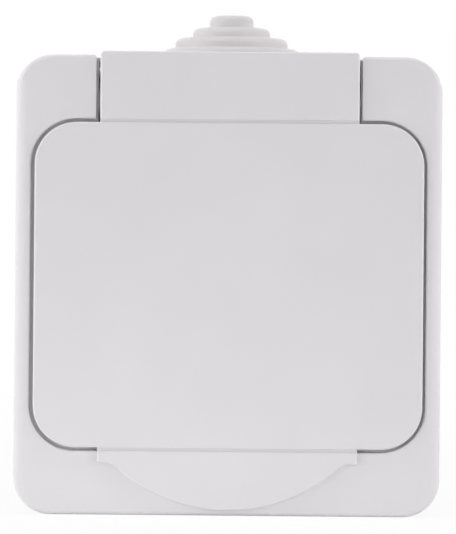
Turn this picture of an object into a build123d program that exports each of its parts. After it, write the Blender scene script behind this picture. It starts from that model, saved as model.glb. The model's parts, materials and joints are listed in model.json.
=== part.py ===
from build123d import *
import os

# Surface-mounted weatherproof wall socket with a sprung lid hinged at its top.
# Sizes are in millimetres. Seen from the front, X runs to the right and Z runs up.
# The wall plane is Y = 0 and the front faces -Y, so a "depth" is a distance
# in front of the wall, along -Y.

# Housing
body_width = 72.0
body_height = 77.7
body_corner = 6.25
wall = 2.4
box_depth = 30.0
cover_depth = 20.0
edge_round = 0.7
seam_chamfer = 0.3
crown_width = 2.2
crown_drop = 0.75
lip_length = 2.0
lip_thickness = 1.2
lip_clearance = 0.15
lip_root = 2.0

# Lid opening in the cover
side_border = 2.56
end_border = 10.825
opening_corner = 7.65
recess = 4.5
recess_floor = 2.0
opening_round = 0.3
ledge_width = 1.0
ledge_gap = 0.35

# Lid
lid_gap = 0.56
lid_proud = 0.7
lid_thickness = 1.8
lid_round = 0.35
lid_side_play = 0.1
tongue_width = 43.75
tongue_gap = 0.6
tongue_rise = 0.64
tongue_corner = 0.7
line_width = 0.5
line_depth = 0.25
tab_width = 43.9
tab_drop = 2.05
tab_shoulder = 2.4
tab_bend = 2.5
tab_margin = 0.85
tab_clearance = 0.05
tab_lip = 1.0
tab_seat = 0.8
tab_seat_gap = 0.3
skirt_wall = 1.6
skirt_gap = 0.8
skirt_top_margin = 2.0

# Hinge
hinge_drop = 3.25
barrel_radius = 3.0
pin_radius = 1.25
pin_clearance = 0.05
pin_fit = 0.02
pin_grip = 4.5
pin_end_recess = 1.5
boss_clearance = 0.15
trough_radius = 6.3
trough_wall = 1.8
ear_round = 0.6
spring_room = 14.0
spring_length = 11.0
spring_radius = 2.3
spring_wire_radius = 0.35
spring_turns = 8
spring_leg_turn = 75.0
spring_back_leg = 5.0
spring_leg_gap = 0.12

# Cable grommet on top, its visible steps from the widest to the narrowest
grommet_hole_radius = 9.0
grommet_clip_radius = 10.4
grommet_clip_height = 1.2
grommet_fit = 0.1
grommet_wall = 1.3
grommet_round = 1.1
grommet_steps = ((13.4, 1.3), (12.1, 1.45), (9.9, 1.85), (6.81, 1.83), (3.84, 2.17))

# Gasket in the box's rim
gasket_width = 1.2
gasket_height = 1.0
gasket_fit = 0.05

# Plug well
well_radius = 19.75
well_depth = 17.5
well_wall = 1.8
well_floor = 3.0
well_clearance = 0.35
flange_radius = 23.4
flange_thickness = 1.2
insert_seal_height = 0.8
insert_seal_inset = 0.3
key_width = 4.5
key_height = 2.2
key_setback = 1.0
pin_pitch = 19.0
pin_hole_radius = 2.6
plug_pin_length = 19.0
earth_slot_width = 7.4
earth_slot_height = 3.4

# Lid seal, a rubber ring that meets the well's flange
lid_seal_width = 3.0
lid_seal_inset = 0.4
lid_seal_gap = 0.1
lid_seal_round = 0.5
seal_rib_width = 0.9
seal_rib_height = 0.8
seal_rib_gap = 0.2

# Contact base and the metal in it
base_width = 50.0
base_height = 40.0
base_corner = 8.0
base_floor = 1.6
seat_drop = 4.6
strip_thickness = 0.8
contact_gap = 5.4
contact_width = 6.5
contact_reach = 12.0
contact_lead = 2.0
pin_tip_room = 0.6
metal_clearance = 0.4
strap_width = 7.0
finger_setback = 6.0
finger_offset = 2.2
finger_bulge = 1.1
finger_bend = 3.5
clamp_size = 7.0
clamp_thickness = 1.4
clamp_reach = 8.0
earth_terminal_z = 11.0

# Screws and their posts
screw_fit = 0.05
screw_clearance = 0.2
drive_length = 3.2
drive_width = 0.8
drive_depth = 1.0
cover_screw_radius = 1.7
cover_screw_head = 3.0
cover_screw_head_height = 1.9
cover_screw_grip = 11.0
cover_screw_inset = 4.0
cover_washer_height = 0.8
cover_counterbore = 1.0
post_wall = 1.9
rib_width = 1.6
insert_screw_radius = 1.7
insert_screw_head = 3.0
insert_screw_head_height = 1.8
insert_screw_grip = 8.0
mechanism_screw_radius = 1.5
mechanism_screw_head = 2.7
mechanism_screw_head_height = 1.9
mechanism_screw_ear = 6.0
mechanism_screw_x = 19.5
mechanism_screw_z = 13.0
mechanism_screw_floor = 0.8
terminal_screw_radius = 1.5
terminal_screw_head = 2.6
terminal_screw_head_height = 1.9
terminal_screw_grip = 5.0

# Wall fixing
wall_hole_radius = 2.3
wall_hole_pitch = 56.0

# Places worked out from the sizes above
half_width = body_width / 2
half_height = body_height / 2
inner_width = body_width - 2 * wall
inner_height = body_height - 2 * wall
inner_corner = body_corner - wall
front = box_depth + cover_depth
recess_depth = front - recess
flat_half = half_width - crown_width
cover_ceiling = recess_depth - recess_floor
opening_width = body_width - 2 * side_border
opening_height = body_height - 2 * end_border
panel_width = opening_width - 2 * lid_gap
panel_height = opening_height - 2 * lid_gap
panel_corner = opening_corner - lid_gap
lid_front = front + lid_proud
lid_back = lid_front - lid_thickness
ledge_depth = lid_back - ledge_gap
skirt_inside = ledge_width + lid_gap + skirt_wall
tongue_top = half_height + tongue_rise
notch_half = tongue_width / 2 + tongue_gap
hinge_z = half_height - hinge_drop
hinge_depth = recess_depth
grommet_depth = box_depth / 2
flange_back = recess_depth + insert_seal_height
flange_front = flange_back + flange_thickness
well_outer = well_radius + well_wall
well_bottom = flange_front - well_depth
base_front = well_bottom - well_floor
pin_tip = well_bottom - plug_pin_length
pocket_bottom = pin_tip - pin_tip_room - strip_thickness
base_back = pocket_bottom - base_floor
seat_depth = base_front - seat_drop
strip_front = seat_depth + strip_thickness
clamp_front = strip_front + clamp_thickness
leaf_offset = contact_gap / 2 + strip_thickness / 2
pocket_half = contact_gap / 2 + strip_thickness + metal_clearance
terminal_x = pin_pitch / 2 + clamp_reach
cover_screw_x = opening_width / 2 - skirt_inside - cover_screw_inset
cover_screw_z = opening_height / 2 - skirt_inside - cover_screw_inset
cover_screw_seat = recess_depth - cover_counterbore + cover_washer_height
post_radius = cover_screw_radius + post_wall
cover_screw_places = ((cover_screw_x, cover_screw_z), (-cover_screw_x, -cover_screw_z))
mechanism_screw_places = (
    (-mechanism_screw_x, mechanism_screw_z),
    (mechanism_screw_x, -mechanism_screw_z),
)
terminal_places = ((-terminal_x, 0), (terminal_x, 0), (0, earth_terminal_z))

# Drawing planes: depth to the right and Z up, and X to the right and depth up
side_plane = Plane(origin=(0, 0, 0), x_dir=(0, -1, 0), z_dir=(-1, 0, 0))
top_plane = Plane(origin=(0, 0, 0), x_dir=(1, 0, 0), z_dir=(0, 0, -1))


def at_depth(depth):
    return Plane.XZ.offset(depth)


def slab(width, height, corner, back, front_face):
    outline = RectangleRounded(width, height, corner)
    return extrude(at_depth(back) * outline, amount=front_face - back)


def cuboid(x_low, x_high, z_low, z_high, back, front_face):
    outline = Rectangle(x_high - x_low, z_high - z_low)
    middle = Pos((x_low + x_high) / 2, (z_low + z_high) / 2)
    return extrude(at_depth(back) * middle * outline, amount=front_face - back)


def rod(radius, back, front_face, x=0.0, z=0.0):
    return extrude(at_depth(back) * Pos(x, z) * Circle(radius), amount=front_face - back)


def ring(inner_radius, outer_radius, back, front_face, x=0.0, z=0.0):
    outside = rod(outer_radius, back, front_face, x, z)
    return outside - rod(inner_radius, back, front_face, x, z)


def frame_ring(inset, thickness, back, front_face):
    rings = []
    for step in (inset, inset + thickness):
        size = (body_width - 2 * step, body_height - 2 * step, body_corner - step)
        rings.append(slab(*size, back, front_face))
    return rings[0] - rings[1]


def hinge_bar(radius, x_low, x_high):
    plane = Plane(origin=(x_low, -hinge_depth, hinge_z), x_dir=(0, 1, 0), z_dir=(1, 0, 0))
    return extrude(plane * Circle(radius), amount=x_high - x_low)


def bent_strip(points, thickness):
    # Section of a sheet strip along a run of points, mitred at its bends
    runs = [(Vector(*b) - Vector(*a)).normalized() for a, b in zip(points, points[1:])]
    normals = [Vector(-run.Y, run.X) for run in runs]
    normals = [normals[0]] + normals + [normals[-1]]
    left = []
    right = []
    for point, before, after in zip(points, normals, normals[1:]):
        mitre = (before + after) * (thickness / 2 / (1 + before.dot(after)))
        left.append(Vector(*point) + mitre)
        right.append(Vector(*point) - mitre)
    return make_face(Polyline(*left, *reversed(right), close=True))


def screw(radius, head_radius, head_height, tip, seat, x, z):
    body = rod(radius, tip, seat, x, z) + rod(head_radius, seat, seat + head_height, x, z)
    top = seat + head_height
    long_half = drive_length / 2
    short_half = drive_width / 2
    body -= cuboid(x - long_half, x + long_half, z - short_half, z + short_half, top - drive_depth, top)
    body -= cuboid(x - short_half, x + short_half, z - long_half, z + long_half, top - drive_depth, top)
    return body


def make_back_box():
    box = slab(body_width, body_height, body_corner, 0, box_depth)
    box = fillet(box.faces().sort_by(Axis.Y)[-1].edges(), edge_round)
    box = chamfer(box.faces().sort_by(Axis.Y)[0].edges(), seam_chamfer)
    box -= slab(inner_width, inner_height, inner_corner, wall, box_depth)
    for x, z in cover_screw_places:
        box += rod(post_radius, wall, box_depth, x, z)
        rib_ends = sorted((x, inner_width / 2 if x > 0 else -inner_width / 2))
        rib_top = box_depth - lip_length - lip_clearance
        box += cuboid(*rib_ends, z - rib_width / 2, z + rib_width / 2, wall, rib_top)
        box -= rod(cover_screw_radius + screw_fit, box_depth - cover_screw_grip, box_depth, x, z)
    for x, z in mechanism_screw_places:
        box += rod(mechanism_screw_radius + post_wall, wall, base_back, x, z)
        box -= rod(mechanism_screw_radius + screw_fit, mechanism_screw_floor, base_back, x, z)
    box -= frame_ring((wall - gasket_width) / 2, gasket_width, box_depth - gasket_height, box_depth)
    for z in (-wall_hole_pitch / 2, wall_hole_pitch / 2):
        box -= rod(wall_hole_radius, 0, wall, 0, z)
    inlet = Plane(origin=(0, -grommet_depth, inner_height / 2), z_dir=(0, 0, 1))
    box -= extrude(inlet * Circle(grommet_hole_radius), amount=wall)
    return box


def make_housing_gasket():
    inset = (wall - gasket_width) / 2 + gasket_fit
    return frame_ring(inset, gasket_width - 2 * gasket_fit, box_depth - gasket_height, box_depth)


def on_roll_line(point):
    # The smooth lines where the flat front starts to roll back
    return abs(abs(point.X) - flat_half) < edge_round / 10 and abs(point.Z) < edge_round


def crowned_block():
    # The front is flat in the middle and rolls back at the two sides, in arcs that run on past them
    low_front = front - crown_drop
    roll_radius = (crown_width**2 + crown_drop**2) / (2 * crown_drop)
    roll_reach = crown_width + seam_chamfer
    outer = flat_half + roll_reach
    outer_front = front - roll_radius + (roll_radius**2 - roll_reach**2) ** 0.5
    left_roll = TangentArc((-flat_half, front), (-outer, outer_front), tangent=(-1, 0))
    right_roll = TangentArc((flat_half, front), (outer, outer_front), tangent=(1, 0))
    rest = Polyline((outer, outer_front), (outer, 0), (-outer, 0), (-outer, outer_front))
    section = make_face(left_roll + right_roll + rest + Line((-flat_half, front), (flat_half, front)))
    roll = extrude(top_plane * section, amount=body_height, both=True)
    block = slab(body_width, body_height, body_corner, box_depth, front) & roll
    rim = []
    for edge in block.edges():
        middle = edge.center()
        on_front = -middle.Y > low_front - crown_drop
        if on_front and not on_roll_line(middle):
            rim.append(edge)
    block = fillet(rim, edge_round)
    return chamfer(block.faces().sort_by(Axis.Y)[-1].edges(), seam_chamfer)


def hinge_notch(bottom, back):
    # Slot between the ears, with the ears' upper corners rounded
    left_corner = Line((-notch_half, bottom), (-notch_half, half_height - ear_round))
    left_arc = RadiusArc(left_corner @ 1, (-notch_half - ear_round, half_height), -ear_round)
    right_corner = Line((notch_half, bottom), (notch_half, half_height - ear_round))
    right_arc = RadiusArc(right_corner @ 1, (notch_half + ear_round, half_height), ear_round)
    above = half_height + wall
    flare = notch_half + ear_round
    over = Polyline(left_arc @ 1, (-flare, above), (flare, above), right_arc @ 1)
    under = Line(left_corner @ 0, right_corner @ 0)
    outline = make_face(left_corner + left_arc + over + right_arc + right_corner + under)
    return extrude(at_depth(back) * outline, amount=front + wall - back)


def cover_cavity():
    cavity = slab(inner_width, inner_height, inner_corner, box_depth, cover_ceiling)
    reach = trough_radius + trough_wall
    cheek = notch_half + trough_wall
    cavity -= hinge_bar(reach, -cheek, cheek)
    cavity -= cuboid(-cheek, cheek, hinge_z, half_height, hinge_depth - reach, hinge_depth)
    band_top = -(opening_height / 2 + wall)
    band = slab(inner_width, inner_height, inner_corner, cover_ceiling, front - wall)
    cavity += band & cuboid(-half_width, half_width, -half_height, band_top, box_depth, front)
    return cavity


def tab_block(inset, back, front_face):
    # Pull tab with straight sides, a shoulder at each and an arc between them, drawn in by the inset
    tab_bottom = -half_height + tab_margin
    tab_high = -panel_height / 2 + panel_corner
    shoulder_z = -(opening_height / 2 + tab_drop)
    tab_half = tab_width / 2
    arc_half = tab_half - tab_shoulder
    sides = Polyline(
        (-arc_half, shoulder_z), (-tab_half, shoulder_z), (-tab_half, tab_high),
        (tab_half, tab_high), (tab_half, shoulder_z), (arc_half, shoulder_z),
    )
    arc = ThreePointArc((-arc_half, shoulder_z), (0, tab_bottom), (arc_half, shoulder_z))
    outline = make_face(sides + arc)
    arc_ends = [v for v in outline.vertices() if abs(v.X) < tab_half - tab_shoulder / 2]
    outline = fillet(arc_ends, tab_bend)
    if inset:
        outline = offset(outline, -inset)
    return extrude(at_depth(back) * outline, amount=front_face - back)


def opening_rim(cover):
    # Front edges of the lid opening
    rim = []
    for edge in cover.edges():
        middle = edge.center()
        on_front = -middle.Y > front - crown_drop
        in_width = abs(middle.X) < opening_width / 2 + edge_round
        in_height = abs(middle.Z) < opening_height / 2 + edge_round
        if on_front and in_width and in_height and not on_roll_line(middle):
            rim.append(edge)
    return rim


def make_front_cover():
    cover = crowned_block()
    cover -= slab(opening_width, opening_height, opening_corner, ledge_depth, front + wall)
    cover = fillet(opening_rim(cover), opening_round)
    inner_opening = (opening_width - 2 * ledge_width, opening_height - 2 * ledge_width)
    cover -= slab(*inner_opening, opening_corner - ledge_width, recess_depth, ledge_depth)
    cover -= tab_block(tab_lip, front - tab_seat, front + wall)
    cover -= hinge_notch(opening_height / 2 - opening_corner, hinge_depth)
    cover -= hinge_notch(hinge_z, hinge_depth - trough_radius)
    cover -= hinge_bar(trough_radius, -notch_half, notch_half)
    boss_end = tongue_width / 2 + lid_side_play + boss_clearance
    boss_heights = (opening_height / 2 - ledge_width, half_height - ear_round)
    for x_ends in ((-notch_half, -boss_end), (boss_end, notch_half)):
        cover += cuboid(*x_ends, *boss_heights, hinge_depth - trough_radius, ledge_depth)
    cover -= cover_cavity()
    cover -= rod(well_outer + well_clearance, cover_ceiling, recess_depth)
    cover += frame_ring(wall + lip_clearance, lip_thickness, box_depth - lip_length, box_depth + lip_root)
    root_width = lip_thickness + 2 * lip_clearance
    cover += frame_ring(wall - lip_clearance, root_width, box_depth, box_depth + lip_root)
    for x, z in cover_screw_places:
        cover += rod(post_radius, box_depth, recess_depth, x, z)
        cover -= rod(cover_screw_radius + screw_clearance, box_depth, recess_depth, x, z)
        sink = recess_depth - cover_counterbore
        cover -= rod(cover_screw_head + screw_clearance, sink, recess_depth, x, z)
    cover -= hinge_bar(pin_radius + pin_fit, -notch_half - pin_grip, half_width + wall)
    return cover


def make_cover_screws():
    tip = box_depth - cover_screw_grip + screw_clearance
    head = (cover_screw_radius, cover_screw_head, cover_screw_head_height)
    return [screw(*head, tip, cover_screw_seat, x, z) for x, z in cover_screw_places]


def make_cover_screw_washers():
    inner = cover_screw_radius + screw_fit
    back = cover_screw_seat - cover_washer_height
    return [ring(inner, cover_screw_head, back, cover_screw_seat, x, z) for x, z in cover_screw_places]


def make_cable_grommet():
    # Half section from the clip below the box's top wall up over the steps, then the hollow inside
    low = inner_height / 2
    neck = grommet_hole_radius - grommet_fit
    bore = neck - grommet_wall
    outside = [(bore, low - grommet_clip_height), (grommet_clip_radius, low - grommet_clip_height)]
    outside += [(grommet_clip_radius, low), (neck, low), (neck, half_height)]
    level = half_height
    inside = []
    for radius, height in grommet_steps:
        outside += [(radius, level), (radius, level + height)]
        inside_radius = min(radius - grommet_wall, bore)
        inside += [(inside_radius, level - grommet_wall), (inside_radius, level + height - grommet_wall)]
        level += height
    corners = outside + [(0, level), (0, level - grommet_wall)]
    for point in reversed(inside):
        if point != corners[-1] and point[0] < bore:
            corners.append(point)
    corners.append((bore, inside[0][1]))
    section = make_face(Polyline(*corners, close=True))
    tops = []
    level = half_height
    for radius, height in grommet_steps:
        level += height
        edge = Vector(radius, level)
        tops += [v for v in section.vertices() if (Vector(v) - edge).length < grommet_fit]
    section = fillet(tops, grommet_round)
    stand = Plane(origin=(0, -grommet_depth, 0), x_dir=(1, 0, 0), z_dir=(0, -1, 0))
    return revolve(stand * section, axis=Axis((0, -grommet_depth, 0), (0, 0, 1)))


def make_lid():
    panel = RectangleRounded(panel_width, panel_height, panel_corner)
    tongue_low = panel_height / 2 - panel_corner
    tongue = Pos(0, (tongue_low + tongue_top) / 2) * Rectangle(tongue_width, tongue_top - tongue_low)
    tongue = fillet(tongue.vertices().group_by(Axis.Y)[-1], tongue_corner)
    tab_back = front + tab_clearance
    lid = extrude(at_depth(lid_back) * (panel + tongue), amount=lid_thickness)
    lid += tab_block(0, tab_back, lid_front)
    lid = fillet(lid.faces().sort_by(Axis.Y)[0].edges(), lid_round)
    line_z = panel_height / 2 + lid_gap / 2
    line_back = lid_front - line_depth
    for z, half in ((line_z, tongue_width / 2), (-line_z, tab_width / 2)):
        lid -= cuboid(-half, half, z - line_width / 2, z + line_width / 2, line_back, lid_front)
    lid += tab_block(tab_lip + tab_seat_gap, tab_back - tab_seat, tab_back)
    lid += lid_skirt()
    rib_outer = flange_radius - lid_seal_inset - lid_seal_width - seal_rib_gap
    lid += ring(rib_outer - seal_rib_width, rib_outer, lid_back - seal_rib_height, lid_back)
    barrel_ends = (hinge_z - barrel_radius, hinge_z + barrel_radius)
    for x_ends in ((-tongue_width / 2, -spring_room / 2), (spring_room / 2, tongue_width / 2)):
        lid += hinge_bar(barrel_radius, *x_ends)
        lid += cuboid(*x_ends, *barrel_ends, hinge_depth, lid_back)
    lid -= hinge_bar(pin_radius + pin_clearance, -half_width, half_width)
    return Pos(lid_side_play, 0, 0) * lid


def lid_skirt():
    # Low wall inside the opening's ledge, left open at the top where the lid swings past the ears
    skirt_back = recess_depth + skirt_gap
    rings = []
    for inset in (ledge_width, ledge_width + skirt_wall):
        size = (panel_width - 2 * inset, panel_height - 2 * inset, panel_corner - inset)
        rings.append(slab(*size, skirt_back, lid_back))
    skirt = rings[0] - rings[1]
    cut_z = panel_height / 2 - skirt_top_margin
    return skirt - cuboid(-half_width, half_width, cut_z, half_height, skirt_back, lid_back)


def make_lid_seal():
    outer = flange_radius - lid_seal_inset
    seal = ring(outer - lid_seal_width, outer, flange_front + lid_seal_gap, lid_back)
    seal = fillet(seal.faces().sort_by(Axis.Y)[-1].edges(), lid_seal_round)
    return Pos(lid_side_play, 0, 0) * seal


def make_hinge_pin():
    blind_end = -notch_half - pin_grip
    return hinge_bar(pin_radius, blind_end, half_width - pin_end_recess)


def make_lid_spring():
    # Close-wound coil on the pin: one leg rests in the trough, the other behind the lid's tongue
    turns = spring_turns + spring_leg_turn / 360
    coil = Helix(pitch=spring_length / turns, height=spring_length, radius=spring_radius)
    wire = Circle(spring_wire_radius)
    spring = sweep(Plane(coil @ 0, z_dir=coil % 0) * wire, path=coil, is_frenet=True)
    spring += extrude(Plane(coil @ 0, z_dir=-(coil % 0)) * wire, amount=spring_back_leg)
    leg_room = lid_back - hinge_depth - spring_wire_radius - spring_leg_gap
    front_leg = (leg_room - (coil @ 1).Y) / (coil % 1).Y
    spring += extrude(Plane(coil @ 1, z_dir=coil % 1) * wire, amount=front_leg)
    seat = Plane(origin=(spring_length / 2, -hinge_depth, hinge_z), x_dir=(0, 0, -1), z_dir=(-1, 0, 0))
    return seat * spring


def make_socket_insert():
    insert = rod(well_outer, base_front, flange_front) + rod(flange_radius, flange_back, flange_front)
    insert -= rod(well_radius, well_bottom, flange_front)
    key_front = flange_front - key_setback
    for side in (-1, 1):
        x_ends = sorted((side * (well_radius - key_height), side * (well_radius + well_wall / 2)))
        insert += cuboid(*x_ends, -key_width / 2, key_width / 2, well_bottom, key_front)
        insert -= rod(pin_hole_radius, base_front, well_bottom, side * pin_pitch / 2)
        slot_z = side * (well_radius - finger_offset)
        slot_half = earth_slot_height / 2
        insert -= cuboid(
            -earth_slot_width / 2, earth_slot_width / 2, slot_z - slot_half, slot_z + slot_half,
            base_front, well_bottom,
        )
    insert -= rod(insert_screw_radius + screw_clearance, base_front, well_bottom)
    sink = well_bottom - insert_screw_head_height
    insert -= rod(insert_screw_head + screw_clearance, sink, well_bottom)
    return insert


def make_insert_seal():
    inner = well_outer + well_clearance
    return ring(inner, flange_radius - insert_seal_inset, recess_depth, flange_back)


def make_insert_screw():
    seat = well_bottom - insert_screw_head_height
    tip = seat_depth - insert_screw_grip
    return screw(insert_screw_radius, insert_screw_head, insert_screw_head_height, tip, seat, 0, 0)


def make_contact_base():
    base = slab(base_width, base_height, base_corner, base_back, base_front)
    channel_half = strap_width / 2 + metal_clearance
    base -= cuboid(-channel_half, channel_half, -base_height, base_height, seat_depth, base_front)
    terminal_half = clamp_size / 2 + metal_clearance
    for side in (-1, 1):
        x_pin = side * pin_pitch / 2
        wide = contact_width / 2 + metal_clearance
        base -= cuboid(x_pin - pocket_half, x_pin + pocket_half, -wide, wide, pocket_bottom, base_front)
        x_ends = sorted((x_pin, side * base_width))
        base -= cuboid(*x_ends, -terminal_half, terminal_half, seat_depth, base_front)
    for x, z in terminal_places:
        hole_bottom = seat_depth - terminal_screw_grip - screw_clearance
        base -= rod(terminal_screw_radius + screw_fit, hole_bottom, seat_depth, x, z)
    hole_bottom = seat_depth - insert_screw_grip - screw_clearance
    base -= rod(insert_screw_radius + screw_fit, hole_bottom, seat_depth)
    ear = base_back + mechanism_screw_ear
    for x, z in mechanism_screw_places:
        base -= rod(mechanism_screw_radius + screw_clearance, base_back, ear, x, z)
        base -= rod(mechanism_screw_head + screw_clearance, ear, base_front, x, z)
    return base


def make_pin_contact(side):
    # U-shaped clip for one plug pin, with a foot that runs out under its terminal
    x_pin = pin_pitch / 2
    clip_bottom = pocket_bottom + strip_thickness / 2
    foot_depth = seat_depth + strip_thickness / 2
    path = [
        (x_pin - leaf_offset, foot_depth + contact_lead), (x_pin - leaf_offset, clip_bottom),
        (x_pin + leaf_offset, clip_bottom), (x_pin + leaf_offset, foot_depth),
        (x_pin + contact_reach, foot_depth),
    ]
    clip = extrude(top_plane * bent_strip(path, strip_thickness), amount=contact_width / 2, both=True)
    clip -= rod(terminal_screw_radius + screw_fit, seat_depth, strip_front, terminal_x)
    return clip if side > 0 else mirror(clip, Plane.YZ)


def make_earth_strap():
    # Strip across the base whose two ends stand up in the well as sprung earth clips
    z_finger = well_radius - finger_offset
    foot = seat_depth + strip_thickness / 2
    tip = flange_front - finger_setback
    half_path = [
        (tip, z_finger), (tip - finger_bend, z_finger - finger_bulge), (tip - 2 * finger_bend, z_finger),
        (foot, z_finger),
    ]
    path = half_path + [(depth, -z) for depth, z in reversed(half_path)]
    strap = extrude(side_plane * bent_strip(path, strip_thickness), amount=strap_width / 2, both=True)
    strap -= rod(insert_screw_radius + screw_clearance, seat_depth, strip_front)
    strap -= rod(terminal_screw_radius + screw_fit, seat_depth, strip_front, 0, earth_terminal_z)
    return strap


def make_terminal_clamps():
    half = clamp_size / 2
    clamps = []
    for x, z in terminal_places:
        clamp = cuboid(x - half, x + half, z - half, z + half, strip_front, clamp_front)
        clamps.append(clamp - rod(terminal_screw_radius + screw_fit, strip_front, clamp_front, x, z))
    return clamps


def make_terminal_screws():
    head = (terminal_screw_radius, terminal_screw_head, terminal_screw_head_height)
    tip = seat_depth - terminal_screw_grip
    return [screw(*head, tip, clamp_front, x, z) for x, z in terminal_places]


def make_mechanism_screws():
    head = (mechanism_screw_radius, mechanism_screw_head, mechanism_screw_head_height)
    tip = mechanism_screw_floor + screw_clearance
    seat = base_back + mechanism_screw_ear
    return [screw(*head, tip, seat, x, z) for x, z in mechanism_screw_places]


pieces = {
    "back_box": make_back_box(),
    "housing_gasket": make_housing_gasket(),
    "front_cover": make_front_cover(),
    "cover_screws": make_cover_screws(),
    "cover_screw_washers": make_cover_screw_washers(),
    "cable_grommet": make_cable_grommet(),
    "lid": make_lid(),
    "lid_seal": make_lid_seal(),
    "hinge_pin": make_hinge_pin(),
    "lid_spring": make_lid_spring(),
    "socket_insert": make_socket_insert(),
    "insert_seal": make_insert_seal(),
    "insert_screw": make_insert_screw(),
    "contact_base": make_contact_base(),
    "mechanism_screws": make_mechanism_screws(),
    "line_contact": make_pin_contact(-1),
    "neutral_contact": make_pin_contact(1),
    "earth_strap": make_earth_strap(),
    "terminal_clamps": make_terminal_clamps(),
    "terminal_screws": make_terminal_screws(),
}

os.makedirs("parts", exist_ok=True)
for name, shape in pieces.items():
    solids = []
    for item in shape if isinstance(shape, list) else [shape]:
        solids += item.solids()
    node = solids[0] if len(solids) == 1 else Compound(solids)
    export_step(node, f"parts/{name}.step")
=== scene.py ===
"""Looks of a surface-mounted weatherproof wall socket: its finishes, lid spring, light and camera."""

import json
import math
import bpy
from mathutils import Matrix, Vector


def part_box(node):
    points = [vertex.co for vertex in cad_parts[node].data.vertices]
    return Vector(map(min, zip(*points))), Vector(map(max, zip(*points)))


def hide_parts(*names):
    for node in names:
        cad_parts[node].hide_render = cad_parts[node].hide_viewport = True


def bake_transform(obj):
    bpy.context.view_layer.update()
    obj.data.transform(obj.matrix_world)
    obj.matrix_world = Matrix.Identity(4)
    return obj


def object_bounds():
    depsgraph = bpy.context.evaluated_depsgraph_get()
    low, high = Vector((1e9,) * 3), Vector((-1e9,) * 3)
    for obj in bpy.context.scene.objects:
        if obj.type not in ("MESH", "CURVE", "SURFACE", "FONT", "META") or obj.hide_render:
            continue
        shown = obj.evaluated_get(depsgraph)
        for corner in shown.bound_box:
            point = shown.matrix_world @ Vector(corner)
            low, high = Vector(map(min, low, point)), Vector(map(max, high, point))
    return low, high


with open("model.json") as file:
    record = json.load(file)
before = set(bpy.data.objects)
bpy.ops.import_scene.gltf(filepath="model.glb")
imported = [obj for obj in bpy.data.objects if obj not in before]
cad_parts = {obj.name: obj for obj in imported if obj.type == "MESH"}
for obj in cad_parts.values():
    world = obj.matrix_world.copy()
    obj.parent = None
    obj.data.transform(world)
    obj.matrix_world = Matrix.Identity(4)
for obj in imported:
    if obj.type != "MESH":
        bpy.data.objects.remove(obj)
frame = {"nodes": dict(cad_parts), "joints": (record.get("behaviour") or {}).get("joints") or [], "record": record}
cad_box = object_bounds()
nodes = frame["nodes"]

# Lengths are in metres
MM = 0.001

# Camera, nearly square to the front, a little to the right and turned about its own axis, as in the photo
PHOTO_WIDTH = 456
PHOTO_HEIGHT = 534
METRES_PER_PIXEL = 0.1688 * MM
BODY_CENTRE_PIXEL = (228.0, 285.75)
CAMERA_DISTANCE = 0.75
CAMERA_ASIDE = 6.4 * MM
CAMERA_ROLL = math.radians(-0.5)
SENSOR_HEIGHT = 36.0

# Linear colours of the two pale materials
HOUSING_COLOUR = (0.760, 0.737, 0.760)
GROMMET_COLOUR = (0.715, 0.688, 0.697)

# The part of a noise's range over which a colour or a gloss goes from its low to its high end
NOISE_LOW = 0.3
NOISE_HIGH = 0.7
BEVEL_SAMPLES = 4

# Lid spring: a wire coil on the hinge pin with a straight leg at each end
SPRING_LENGTH = 11.0 * MM
SPRING_RADIUS = 2.3 * MM
SPRING_WIRE_RADIUS = 0.35 * MM
SPRING_TURNS = 8 + 75 / 360
SPRING_BACK_LEG = 5.0 * MM
SPRING_FRONT_LEG = 2.73 * MM
SPRING_STEPS_PER_TURN = 40
SPRING_SIDES = 14

# Floor, whose share of plain white grows to all of it between the two distances of the fade
FLOOR_REACH = 3.0
FLOOR_COLOUR = (0.95, 0.95, 0.95)
FLOOR_WHITE = 0.90
FLOOR_FADE = (0.08, 0.6)

# Light: each lamp's name, place, aim, width and height, and power in watts
AMBIENT = 0.15
BACKGROUND = 1.0
MIDDLE = (0.0, -0.03, 0.0)
LAMPS = (
    ("left_softbox", (-0.55, -0.25, 0.02), MIDDLE, (0.5, 0.6), 3.73),
    ("right_softbox", (0.55, -0.25, 0.02), MIDDLE, (0.5, 0.6), 3.22),
    ("top_softbox", (0.0, -0.08, 0.70), (0.0, -0.08, 0.0), (0.6, 0.3), 2.13),
    ("back_softbox", (0.0, 0.60, 0.35), (0.0, 0.0, 0.0), (0.8, 0.5), 1.5),
)
STRIPS = (
    ("low_left_strip", (-0.035, -0.13, -0.0379), (-0.025, -0.05, -0.0379), (0.06, 0.0016), 0.0063),
    ("low_right_strip", (0.035, -0.13, -0.0379), (0.025, -0.05, -0.0379), (0.06, 0.0016), 0.0027),
)


def add_node(tree, kind, **settings):
    node = tree.nodes.new("ShaderNode" + kind)
    for setting, value in settings.items():
        setattr(node, setting, value)
    return node


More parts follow.
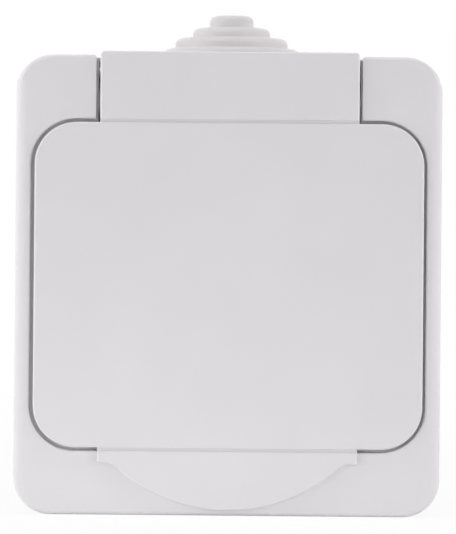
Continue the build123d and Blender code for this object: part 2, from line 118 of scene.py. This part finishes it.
class Finish:
    """One procedural material: a principled shader with noise in its colour, gloss and relief."""

    def __init__(self, name, metallic=0.0, edge=0.0):
        self.material = bpy.data.materials.new(name)
        self.material.use_nodes = True
        self.tree = self.material.node_tree
        self.shader = self.tree.nodes["Principled BSDF"]
        self.shader.inputs["Metallic"].default_value = metallic
        self.coords = self.add("TexCoord").outputs["Object"]
        self.normal = None
        if edge:
            bevel = self.add("Bevel", samples=BEVEL_SAMPLES)
            bevel.inputs["Radius"].default_value = edge
            self.normal = bevel.outputs["Normal"]

    def add(self, kind, **settings):
        return add_node(self.tree, kind, **settings)

    def link(self, source, target):
        self.tree.links.new(source, target)

    def noise(self, feature, detail, stretch):
        """Noise whose lumps are about one feature long, drawn out along an axis by a low stretch."""
        mapping = self.add("Mapping")
        mapping.inputs["Scale"].default_value = stretch
        self.link(self.coords, mapping.inputs["Vector"])
        texture = self.add("TexNoise")
        texture.inputs["Scale"].default_value = 1 / feature
        texture.inputs["Detail"].default_value = detail
        self.link(mapping.outputs["Vector"], texture.inputs["Vector"])
        return texture.outputs["Fac"]

    def colour(self, low, high, feature, detail=3.0, stretch=(1, 1, 1)):
        ramp = self.add("ValToRGB")
        ends = ((NOISE_LOW, low), (NOISE_HIGH, high))
        for element, (position, colour) in zip(ramp.color_ramp.elements, ends):
            element.position = position
            element.color = (*colour, 1)
        self.link(self.noise(feature, detail, stretch), ramp.inputs["Fac"])
        self.link(ramp.outputs["Color"], self.shader.inputs["Base Color"])

    def gloss(self, low, high, feature, detail=3.0, stretch=(1, 1, 1)):
        span = self.add("MapRange")
        span.inputs["From Min"].default_value = NOISE_LOW
        span.inputs["From Max"].default_value = NOISE_HIGH
        span.inputs["To Min"].default_value = low
        span.inputs["To Max"].default_value = high
        self.link(self.noise(feature, detail, stretch), span.inputs["Value"])
        self.link(span.outputs["Result"], self.shader.inputs["Roughness"])

    def relief(self, height, feature, strength, detail=2.0, stretch=(1, 1, 1)):
        bump = self.add("Bump")
        bump.inputs["Distance"].default_value = height
        bump.inputs["Strength"].default_value = strength
        self.link(self.noise(feature, detail, stretch), bump.inputs["Height"])
        if self.normal:
            self.link(self.normal, bump.inputs["Normal"])
        self.normal = bump.outputs["Normal"]
        self.link(self.normal, self.shader.inputs["Normal"])


def shade(colour, factor):
    return tuple(channel * factor for channel in colour)


def housing_plastic():
    finish = Finish("housing_plastic", edge=0.12 * MM)
    finish.colour(shade(HOUSING_COLOUR, 0.985), shade(HOUSING_COLOUR, 1.01), feature=14 * MM)
    finish.gloss(0.38, 0.47, feature=3 * MM)
    finish.relief(0.012 * MM, feature=0.35 * MM, strength=0.6)
    finish.relief(0.02 * MM, feature=9 * MM, strength=0.5)
    return finish.material


def grommet_rubber():
    finish = Finish("grommet_rubber")
    finish.colour(shade(GROMMET_COLOUR, 0.97), shade(GROMMET_COLOUR, 1.02), feature=6 * MM)
    finish.gloss(0.48, 0.6, feature=2 * MM)
    finish.relief(0.02 * MM, feature=0.5 * MM, strength=0.6)
    return finish.material


def seal_rubber():
    finish = Finish("seal_rubber")
    finish.colour((0.035, 0.035, 0.037), (0.055, 0.055, 0.058), feature=4 * MM)
    finish.gloss(0.6, 0.8, feature=1.5 * MM)
    finish.relief(0.03 * MM, feature=0.4 * MM, strength=0.7)
    return finish.material


def zinc_steel():
    finish = Finish("zinc_steel", metallic=1.0, edge=0.1 * MM)
    finish.colour((0.44, 0.445, 0.455), (0.56, 0.56, 0.55), feature=1.2 * MM)
    finish.gloss(0.28, 0.45, feature=0.8 * MM)
    finish.relief(0.01 * MM, feature=0.2 * MM, strength=0.5)
    return finish.material


def bright_steel():
    drawn = (0.1, 1, 1)
    finish = Finish("bright_steel", metallic=1.0)
    finish.colour((0.56, 0.56, 0.57), (0.66, 0.66, 0.66), feature=2 * MM, stretch=drawn)
    finish.gloss(0.4, 0.52, feature=0.5 * MM, stretch=drawn)
    finish.relief(0.008 * MM, feature=0.15 * MM, strength=0.5, stretch=drawn)
    return finish.material


def contact_brass():
    rolled = (1, 0.2, 1)
    finish = Finish("contact_brass", metallic=1.0, edge=0.08 * MM)
    finish.colour((0.62, 0.44, 0.18), (0.74, 0.55, 0.26), feature=2 * MM)
    finish.gloss(0.24, 0.4, feature=0.7 * MM)
    finish.relief(0.01 * MM, feature=0.2 * MM, strength=0.4, stretch=rolled)
    return finish.material


def base_plastic():
    finish = Finish("base_plastic", edge=0.1 * MM)
    finish.colour((0.035, 0.035, 0.037), (0.05, 0.05, 0.052), feature=3 * MM)
    finish.gloss(0.48, 0.62, feature=1 * MM)
    finish.relief(0.02 * MM, feature=0.3 * MM, strength=0.6)
    return finish.material


makers = (
    housing_plastic, grommet_rubber, seal_rubber, zinc_steel, bright_steel, contact_brass, base_plastic,
)
materials = {make.__name__: make() for make in makers}


def dress_cad_nodes():
    for entry in frame["record"]["subparts"]:
        mesh = nodes[entry["node"]].data
        mesh.materials.clear()
        mesh.materials.append(materials[entry["material_slot"]])


def spring_centre_line(hinge):
    """Points along the wire: the leg in the cover's trough, the coil, the leg behind the lid's tongue."""
    steps = round(SPRING_TURNS * SPRING_STEPS_PER_TURN)
    coil = []
    for step in range(steps + 1):
        share = step / steps
        angle = 2 * math.pi * SPRING_TURNS * share
        along = SPRING_LENGTH * (0.5 - share)
        forward = SPRING_RADIUS * math.sin(angle)
        down = SPRING_RADIUS * math.cos(angle)
        coil.append(hinge + Vector((along, -forward, -down)))
    back_leg = coil[0] + (coil[0] - coil[1]).normalized() * SPRING_BACK_LEG
    front_leg = coil[-1] + (coil[-1] - coil[-2]).normalized() * SPRING_FRONT_LEG
    return [back_leg, *coil, front_leg]


def tube(name, line, radius, sides):
    """A round wire along a line of points, closed at both ends."""
    axis = Vector((1, 0, 0))
    vertices = []
    for index, point in enumerate(line):
        before = line[max(index - 1, 0)]
        after = line[min(index + 1, len(line) - 1)]
        run = (after - before).normalized()
        across = run.cross(axis).normalized()
        beside = across.cross(run)
        for side in range(sides):
            angle = 2 * math.pi * side / sides
            vertices.append(point + radius * (across * math.cos(angle) + beside * math.sin(angle)))
    faces = [tuple(range(sides)), tuple(range(len(vertices) - 1, len(vertices) - 1 - sides, -1))]
    for ring in range(len(line) - 1):
        for side in range(sides):
            low = ring * sides + side
            low_next = ring * sides + (side + 1) % sides
            faces.append((low, low + sides, low_next + sides, low_next))
    mesh = bpy.data.meshes.new(name)
    mesh.from_pydata(vertices, [], faces)
    for polygon in mesh.polygons:
        polygon.use_smooth = len(polygon.vertices) == 4
    wire = bpy.data.objects.new(name, mesh)
    bpy.context.scene.collection.objects.link(wire)
    return wire


def add_lid_spring():
    """A wound spring on the hinge pin, in place of the rigid one."""
    hinge = Vector(frame["joints"][0]["pos_m"])
    spring = tube("lid_spring_coil", spring_centre_line(hinge), SPRING_WIRE_RADIUS, SPRING_SIDES)
    spring.data.materials.append(materials["bright_steel"])
    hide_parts("lid_spring")
    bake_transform(spring)


def add_camera():
    camera = bpy.data.cameras.new("camera")
    camera.sensor_fit = "VERTICAL"
    camera.sensor_height = SENSOR_HEIGHT
    camera.lens = SENSOR_HEIGHT * CAMERA_DISTANCE / (PHOTO_HEIGHT * METRES_PER_PIXEL)
    cover_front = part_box("front_cover")[0].y
    side = (PHOTO_WIDTH / 2 - BODY_CENTRE_PIXEL[0]) * METRES_PER_PIXEL
    rise = (BODY_CENTRE_PIXEL[1] - PHOTO_HEIGHT / 2) * METRES_PER_PIXEL
    eye = bpy.data.objects.new("camera", camera)
    turn = math.atan(CAMERA_ASIDE / CAMERA_DISTANCE)
    eye.location = (side + CAMERA_ASIDE, cover_front - CAMERA_DISTANCE, rise)
    eye.rotation_euler = (math.pi / 2, CAMERA_ROLL, turn)
    bpy.context.scene.collection.objects.link(eye)
    bpy.context.scene.camera = eye


def add_lamp(name, place, aim, size, power):
    lamp = bpy.data.lights.new(name, "AREA")
    lamp.shape = "RECTANGLE"
    lamp.size, lamp.size_y = size
    lamp.energy = power
    stand = bpy.data.objects.new(name, lamp)
    stand.visible_camera = False
    stand.location = place
    stand.rotation_euler = (Vector(aim) - Vector(place)).to_track_quat("-Z", "Y").to_euler()
    bpy.context.scene.collection.objects.link(stand)
    return stand


def add_strips(floor):
    """Low lamps that light everything but the floor, on which they would draw a streak."""
    unlit = bpy.data.collections.new("unlit_by_strips")
    unlit.objects.link(floor)
    unlit.collection_objects[0].light_linking.link_state = "EXCLUDE"
    for strip in STRIPS:
        add_lamp(*strip).light_linking.receiver_collection = unlit


def seen_directly(tree):
    """1 for a ray of the camera, of a reflection or of a clear surface, and 0 for any other ray."""
    path = add_node(tree, "LightPath")
    seen = path.outputs["Is Camera Ray"]
    for ray in ("Is Glossy Ray", "Is Transmission Ray"):
        either = add_node(tree, "Math", operation="MAXIMUM")
        tree.links.new(seen, either.inputs[0])
        tree.links.new(path.outputs[ray], either.inputs[1])
        seen = either.outputs["Value"]
    return seen


def floor_paper():
    """Matt paper that looks nearly white near the object, where its shadow shows, and white further out."""
    material = bpy.data.materials.new("floor")
    material.use_nodes = True
    tree = material.node_tree
    tree.nodes.remove(tree.nodes["Principled BSDF"])
    paper = add_node(tree, "BsdfDiffuse")
    paper.inputs["Color"].default_value = (*FLOOR_COLOUR, 1)
    white = add_node(tree, "Emission")
    place = add_node(tree, "TexCoord")
    distance = add_node(tree, "VectorMath", operation="LENGTH")
    fade = add_node(tree, "MapRange", interpolation_type="SMOOTHSTEP")
    fade.inputs["From Min"].default_value, fade.inputs["From Max"].default_value = FLOOR_FADE
    fade.inputs["To Min"].default_value = FLOOR_WHITE
    share = add_node(tree, "Math", operation="MULTIPLY")
    mix = add_node(tree, "MixShader")
    tree.links.new(place.outputs["Object"], distance.inputs[0])
    tree.links.new(distance.outputs["Value"], fade.inputs["Value"])
    tree.links.new(seen_directly(tree), share.inputs[0])
    tree.links.new(fade.outputs["Result"], share.inputs[1])
    tree.links.new(share.outputs["Value"], mix.inputs["Fac"])
    tree.links.new(paper.outputs["BSDF"], mix.inputs[1])
    tree.links.new(white.outputs["Emission"], mix.inputs[2])
    tree.links.new(mix.outputs["Shader"], tree.nodes["Material Output"].inputs["Surface"])
    return material


def add_floor():
    level = cad_box[0].z
    corners = [(x * FLOOR_REACH, y * FLOOR_REACH, level) for x, y in ((-1, -1), (1, -1), (1, 1), (-1, 1))]
    mesh = bpy.data.meshes.new("floor")
    mesh.from_pydata(corners, [], [(0, 1, 2, 3)])
    mesh.materials.append(floor_paper())
    floor = bpy.data.objects.new("floor", mesh)
    bpy.context.scene.collection.objects.link(floor)
    return floor


def add_world():
    """Even soft light from all round, in front of a white background."""
    world = bpy.data.worlds.new("studio")
    world.use_nodes = True
    tree = world.node_tree
    soft = tree.nodes["Background"]
    soft.inputs["Color"].default_value = (1, 1, 1, 1)
    soft.inputs["Strength"].default_value = AMBIENT
    white = add_node(tree, "Background")
    white.inputs["Color"].default_value = (1, 1, 1, 1)
    white.inputs["Strength"].default_value = BACKGROUND
    mix = add_node(tree, "MixShader")
    tree.links.new(seen_directly(tree), mix.inputs["Fac"])
    tree.links.new(soft.outputs["Background"], mix.inputs[1])
    tree.links.new(white.outputs["Background"], mix.inputs[2])
    tree.links.new(mix.outputs["Shader"], tree.nodes["World Output"].inputs["Surface"])
    bpy.context.scene.world = world


dress_cad_nodes()
add_lid_spring()
add_camera()
add_world()
add_strips(add_floor())
for lamp in LAMPS:
    add_lamp(*lamp)
bpy.context.scene.view_settings.view_transform = "Standard"
